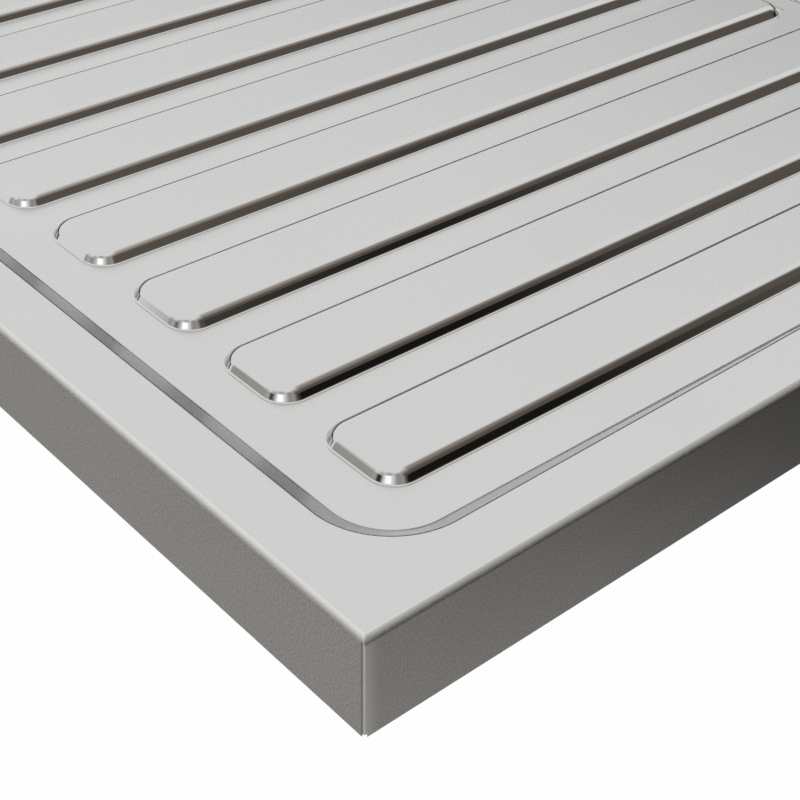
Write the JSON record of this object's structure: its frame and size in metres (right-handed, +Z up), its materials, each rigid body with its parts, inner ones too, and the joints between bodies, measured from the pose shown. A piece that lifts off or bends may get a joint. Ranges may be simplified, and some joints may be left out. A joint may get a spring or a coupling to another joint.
{
  "type": "kitchen sink with drainboard",
  "caption": "Lay-on stainless steel kitchen sink with a ribbed drainboard, a drawn bowl, a tap ledge, an overflow and a lift-out strainer basket with a sliding stopper.",
  "frame": {"origin": "middle of the front return flange's underside, which lies on the cabinet (mount front_seat)", "axes": "+X to the right along the ribs and the board's length, +Y from the front to the back, +Z up"},
  "size_m": [1, 0.6, 0.2766],
  "materials": {
    "deck_steel": "fine satin, ribs' walls polished",
    "bowl_steel": "satin",
    "rail_steel": "mill",
    "damping_pad": "matt",
    "bracket_zinc": "zinc plated",
    "gasket_rubber": "matt",
    "seal_rubber": "satin",
    "waste_steel": "polished",
    "basket_steel": "polished",
    "waste_plastic": "moulded",
    "insert_brass": "turned"
  },
  "bodies": {
    "sink": {"sink_top": "deck_steel", "bowl": "bowl_steel", "stiffener_left": "rail_steel", "stiffener_middle": "rail_steel", "stiffener_right": "rail_steel", "tap_plate": "rail_steel", "bowl_pad_left": "damping_pad", "bowl_pad_right": "damping_pad", "bowl_pad_front": "damping_pad", "bracket_front_left": "bracket_zinc", "bracket_back_left": "bracket_zinc", "bracket_front_right": "bracket_zinc", "bracket_back_right": "bracket_zinc", "flange_gasket": "gasket_rubber", "body_gasket": "gasket_rubber", "waste_flange": "waste_steel", "waste_body": "waste_plastic", "clamp_insert": "insert_brass", "clamp_screw": "waste_steel", "overflow_cover": "waste_steel", "overflow_screw": "waste_steel", "overflow_gasket": "gasket_rubber", "overflow_head": "waste_plastic", "overflow_pipe": "waste_plastic", "overflow_nut_upper": "waste_plastic", "overflow_nut_lower": "waste_plastic", "overflow_washer_upper": "gasket_rubber", "overflow_washer_lower": "gasket_rubber"},
    "basket": {"strainer_basket": "basket_steel"},
    "stopper": {"stopper_seal": "seal_rubber", "stopper_stem": "basket_steel", "stopper_knob": "basket_steel"}
  },
  "joints": [
    {"name": "basket_lift", "type": "slide", "parent": "sink", "child": "basket", "axis": [0, 0, 1], "range_m": [0, 0.25]},
    {"name": "stopper_lift", "type": "slide", "parent": "basket", "child": "stopper", "axis": [0, 0, 1], "range_m": [0, 0.01]}
  ]
}
